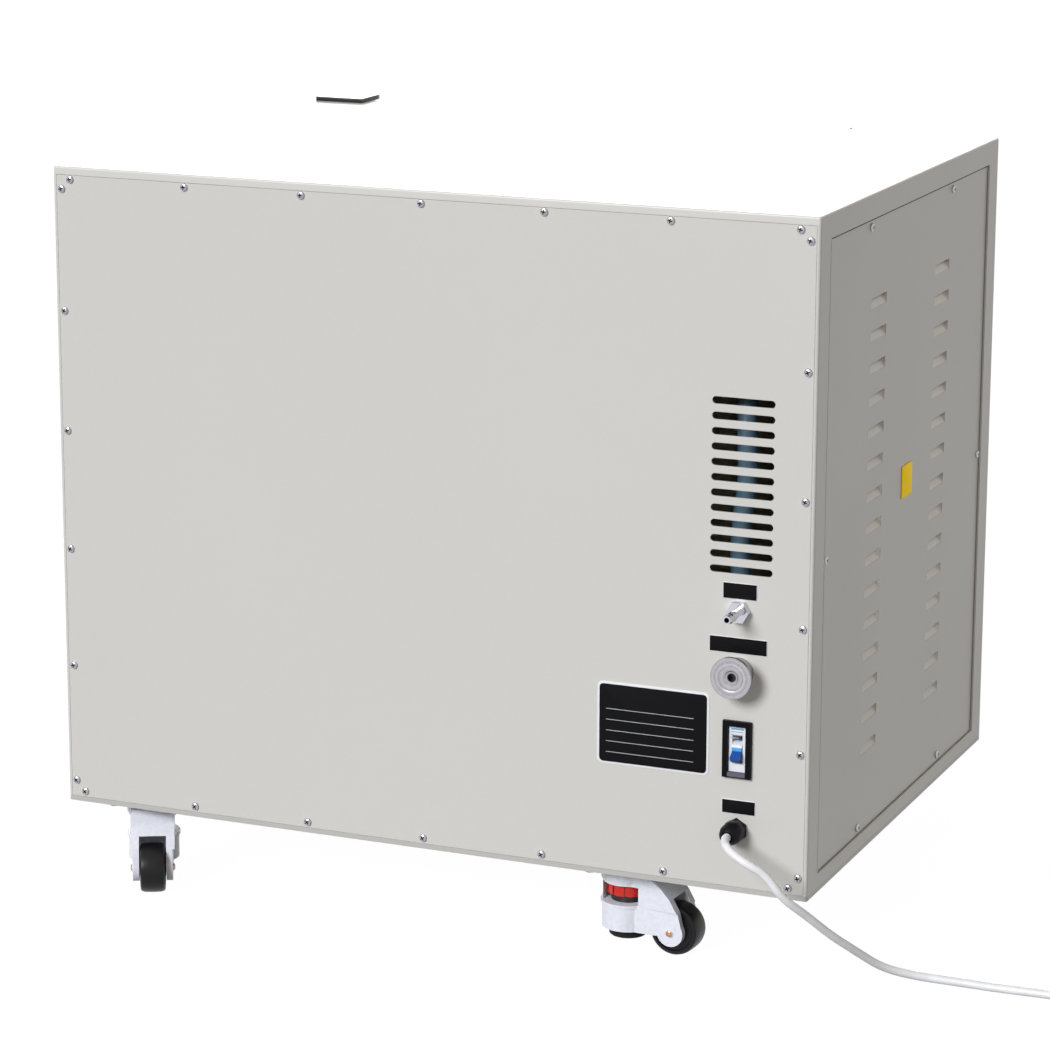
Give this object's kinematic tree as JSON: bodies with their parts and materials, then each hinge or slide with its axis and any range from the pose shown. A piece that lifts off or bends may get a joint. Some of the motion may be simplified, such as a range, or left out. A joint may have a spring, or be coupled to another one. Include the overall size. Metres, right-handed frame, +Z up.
{
  "type": "vacuum oven",
  "caption": "Laboratory vacuum oven: glazed door over an insulated chamber, rear vacuum and vent ports, louvred cabinet, levelling casters.",
  "frame": {"origin": "on the floor, under the middle of the oven's outer box without its cord", "axes": "+Z up, the door faces -Y, +X is the hinge side (right, seen from the front)"},
  "size_m": [1.1497, 0.6992, 0.7355],
  "materials": {
    "casing_paint": "semi-gloss pale grey baked enamel on sheet steel",
    "door_paint": "semi-gloss pale grey baked enamel on a cast door frame",
    "panel_grey": "dark grey instrument panel",
    "screw_chrome": "bright plated",
    "stainless": "brushed and turned stainless steel",
    "handle_chrome": "satin plated lever",
    "heater_foil": "foil-faced heater plates",
    "wool": "mineral wool",
    "black_enamel": "gloss black enamel",
    "black_plastic": "black moulded plastic",
    "gauge_case": "black gauge case with a white dial",
    "clear_glass": "clear tempered glass",
    "silicone": "brick-red silicone seal",
    "hose_rubber": "blue-grey vacuum hose",
    "breaker_white": "white moulded breaker",
    "breaker_blue": "blue moulded toggle",
    "rocker_red": "red moulded rocker",
    "key_grey": "grey moulded keys",
    "cord_white": "white flexible sheath",
    "cast_bracket": "die-cast, silver-white paint",
    "caster_steel": "zinc-plated steel",
    "wheel_nylon": "black nylon",
    "level_red": "red moulded levelling wheel",
    "foot_rubber": "black rubber"
  },
  "bodies": {
    "cabinet": {"base_pan": "casing_paint", "breaker_bezel": "black_plastic", "breaker_body": "breaker_white", "cabinet_shell": "casing_paint", "cable_gland": "black_plastic", "caster_plates": "caster_steel", "chamber": "stainless", "control_panel": "panel_grey", "cord_coil": "cord_white", "door_gasket": "silicone", "front_fascia": "casing_paint", "gauge_lens": "clear_glass", "heater_plates": "heater_foil", "hinge_brackets": "black_enamel", "insulation": "wool", "latch_strike": "stainless", "left_side_panel": "casing_paint", "panel_screws": "screw_chrome", "power_cord": "cord_white", "power_plug": "cord_white", "rear_panel": "casing_paint", "right_side_panel": "casing_paint", "switch_housing": "black_plastic", "temperature_controller": "black_plastic", "vacuum_gauge": "gauge_case", "vacuum_hose": "hose_rubber", "vacuum_port": "stainless", "valve_bodies": "stainless", "vent_port": "screw_chrome"},
    "door": {"door_shell": "door_paint", "door_glass": "clear_glass", "window_bezel": "black_enamel"},
    "latch": {"handle_lever": "handle_chrome", "latch_cam": "stainless"},
    "lower_shelf": {"shelf_lower": "stainless"},
    "upper_shelf": {"shelf_upper": "stainless"},
    "needle": {"gauge_needle": "screw_chrome"},
    "vacuum_knob": {"vacuum_valve_knob": "black_plastic"},
    "vent_knob": {"vent_valve_knob": "black_plastic"},
    "rocker": {"power_switch": "rocker_red"},
    "set_key": {"key_set": "key_grey"},
    "up_key": {"key_up": "key_grey"},
    "down_key": {"key_down": "key_grey"},
    "toggle": {"breaker_toggle": "breaker_blue"},
    "bracket_rear_left": {"caster_bracket_rear_left": "cast_bracket"},
    "wheel_rear_left": {"caster_wheel_rear_left": "wheel_nylon"},
    "leveller_rear_left": {"level_wheel_rear_left": "level_red"},
    "foot_rear_left": {"level_foot_rear_left": "foot_rubber"},
    "bracket_rear_right": {"caster_bracket_rear_right": "cast_bracket"},
    "wheel_rear_right": {"caster_wheel_rear_right": "wheel_nylon"},
    "leveller_rear_right": {"level_wheel_rear_right": "level_red"},
    "foot_rear_right": {"level_foot_rear_right": "foot_rubber"},
    "bracket_front_left": {"caster_bracket_front_left": "cast_bracket"},
    "wheel_front_left": {"caster_wheel_front_left": "wheel_nylon"},
    "leveller_front_left": {"level_wheel_front_left": "level_red"},
    "foot_front_left": {"level_foot_front_left": "foot_rubber"},
    "bracket_front_right": {"caster_bracket_front_right": "cast_bracket"},
    "wheel_front_right": {"caster_wheel_front_right": "wheel_nylon"},
    "leveller_front_right": {"level_wheel_front_right": "level_red"},
    "foot_front_right": {"level_foot_front_right": "foot_rubber"}
  },
  "joints": [
    {"name": "door_hinge", "type": "hinge", "parent": "cabinet", "child": "door", "pos_m": [0.352, -0.29135, 0.4085], "axis": [0, 0, 1], "range_deg": [0, 120]},
    {"name": "latch_turn", "type": "hinge", "parent": "door", "child": "latch", "pos_m": [-0.204, -0.31035, 0.416], "axis": [0, 1, 0], "range_deg": [0, 90]},
    {"name": "lower_shelf_slide", "type": "slide", "parent": "cabinet", "child": "lower_shelf", "axis": [0, -1, 0], "range_m": [0, 0.02]},
    {"name": "upper_shelf_slide", "type": "slide", "parent": "cabinet", "child": "upper_shelf", "axis": [0, -1, 0], "range_m": [0, 0.02]},
    {"name": "needle_turn", "type": "hinge", "parent": "cabinet", "child": "needle", "pos_m": [-0.3175, -0.27035, 0.64], "axis": [0, 1, 0], "range_deg": [0, 270]},
    {"name": "vacuum_valve_turn", "type": "hinge", "parent": "cabinet", "child": "vacuum_knob", "pos_m": [-0.3175, -0.27135, 0.43], "axis": [0, -1, 0], "range_deg": [0, 540]},
    {"name": "vent_valve_turn", "type": "hinge", "parent": "cabinet", "child": "vent_knob", "pos_m": [-0.3175, -0.27135, 0.33], "axis": [0, -1, 0], "range_deg": [0, 540]},
    {"name": "rocker_throw", "type": "hinge", "parent": "cabinet", "child": "rocker", "pos_m": [-0.3175, -0.26835, 0.22], "axis": [-1, 0, 0], "range_deg": [0, 16]},
    {"name": "set_key_press", "type": "slide", "parent": "cabinet", "child": "set_key", "axis": [0, 1, 0], "range_m": [0, 0.001], "stiffness_N_per_m": 300},
    {"name": "up_key_press", "type": "slide", "parent": "cabinet", "child": "up_key", "axis": [0, 1, 0], "range_m": [0, 0.001], "stiffness_N_per_m": 300},
    {"name": "down_key_press", "type": "slide", "parent": "cabinet", "child": "down_key", "axis": [0, 1, 0], "range_m": [0, 0.001], "stiffness_N_per_m": 300},
    {"name": "toggle_throw", "type": "hinge", "parent": "cabinet", "child": "toggle", "pos_m": [-0.3223, 0.29865, 0.2266], "axis": [1, 0, 0], "range_deg": [0, 76]},
    {"name": "swivel_rear_left", "type": "hinge", "parent": "cabinet", "child": "bracket_rear_left", "pos_m": [-0.195, 0.25165, 0.079], "axis": [0, 0, 1], "continuous": true},
    {"name": "roll_rear_left", "type": "hinge", "parent": "bracket_rear_left", "child": "wheel_rear_left", "pos_m": [-0.24787, 0.25535, 0.025], "axis": [-0.0698, -0.9976, 0], "continuous": true},
    {"name": "level_turn_rear_left", "type": "hinge", "parent": "bracket_rear_left", "child": "leveller_rear_left", "pos_m": [-0.195, 0.25165, 0.047], "axis": [0, 0, 1], "range_deg": [0, 3240]},
    {"name": "foot_travel_rear_left", "type": "slide", "parent": "bracket_rear_left", "child": "foot_rear_left", "axis": [0, 0, -1], "range_m": [0, 0.018]},
    {"name": "swivel_rear_right", "type": "hinge", "parent": "cabinet", "child": "bracket_rear_right", "pos_m": [0.325, 0.25165, 0.079], "axis": [0, 0, 1], "continuous": true},
    {"name": "roll_rear_right", "type": "hinge", "parent": "bracket_rear_right", "child": "wheel_rear_right", "pos_m": [0.30094, 0.29887, 0.025], "axis": [-0.891, -0.454, 0], "continuous": true},
    {"name": "level_turn_rear_right", "type": "hinge", "parent": "bracket_rear_right", "child": "leveller_rear_right", "pos_m": [0.325, 0.25165, 0.047], "axis": [0, 0, 1], "range_deg": [0, 3240]},
    {"name": "foot_travel_rear_right", "type": "slide", "parent": "bracket_rear_right", "child": "foot_rear_right", "axis": [0, 0, -1], "range_m": [0, 0.018]},
    {"name": "swivel_front_left", "type": "hinge", "parent": "cabinet", "child": "bracket_front_left", "pos_m": [-0.195, -0.21835, 0.079], "axis": [0, 0, 1], "continuous": true},
    {"name": "roll_front_left", "type": "hinge", "parent": "bracket_front_left", "child": "wheel_front_left", "pos_m": [-0.2448, -0.23648, 0.025], "axis": [0.342, -0.9397, 0], "continuous": true},
    {"name": "level_turn_front_left", "type": "hinge", "parent": "bracket_front_left", "child": "leveller_front_left", "pos_m": [-0.195, -0.21835, 0.047], "axis": [0, 0, 1], "range_deg": [0, 3240]},
    {"name": "foot_travel_front_left", "type": "slide", "parent": "bracket_front_left", "child": "foot_front_left", "axis": [0, 0, -1], "range_m": [0, 0.018]},
    {"name": "swivel_front_right", "type": "hinge", "parent": "cabinet", "child": "bracket_front_right", "pos_m": [0.325, -0.21835, 0.079], "axis": [0, 0, 1], "continuous": true},
    {"name": "roll_front_right", "type": "hinge", "parent": "bracket_front_right", "child": "wheel_front_right", "pos_m": [0.2752, -0.20022, 0.025], "axis": [-0.342, -0.9397, 0], "continuous": true},
    {"name": "level_turn_front_right", "type": "hinge", "parent": "bracket_front_right", "child": "leveller_front_right", "pos_m": [0.325, -0.21835, 0.047], "axis": [0, 0, 1], "range_deg": [0, 3240]},
    {"name": "foot_travel_front_right", "type": "slide", "parent": "bracket_front_right", "child": "foot_front_right", "axis": [0, 0, -1], "range_m": [0, 0.018]}
  ],
  "couplings": [
    {"joint": "foot_travel_rear_left", "follows": "level_turn_rear_left", "m_per_rad": 0.00031831},
    {"joint": "foot_travel_rear_right", "follows": "level_turn_rear_right", "m_per_rad": 0.00031831},
    {"joint": "foot_travel_front_left", "follows": "level_turn_front_left", "m_per_rad": 0.00031831},
    {"joint": "foot_travel_front_right", "follows": "level_turn_front_right", "m_per_rad": 0.00031831}
  ]
}
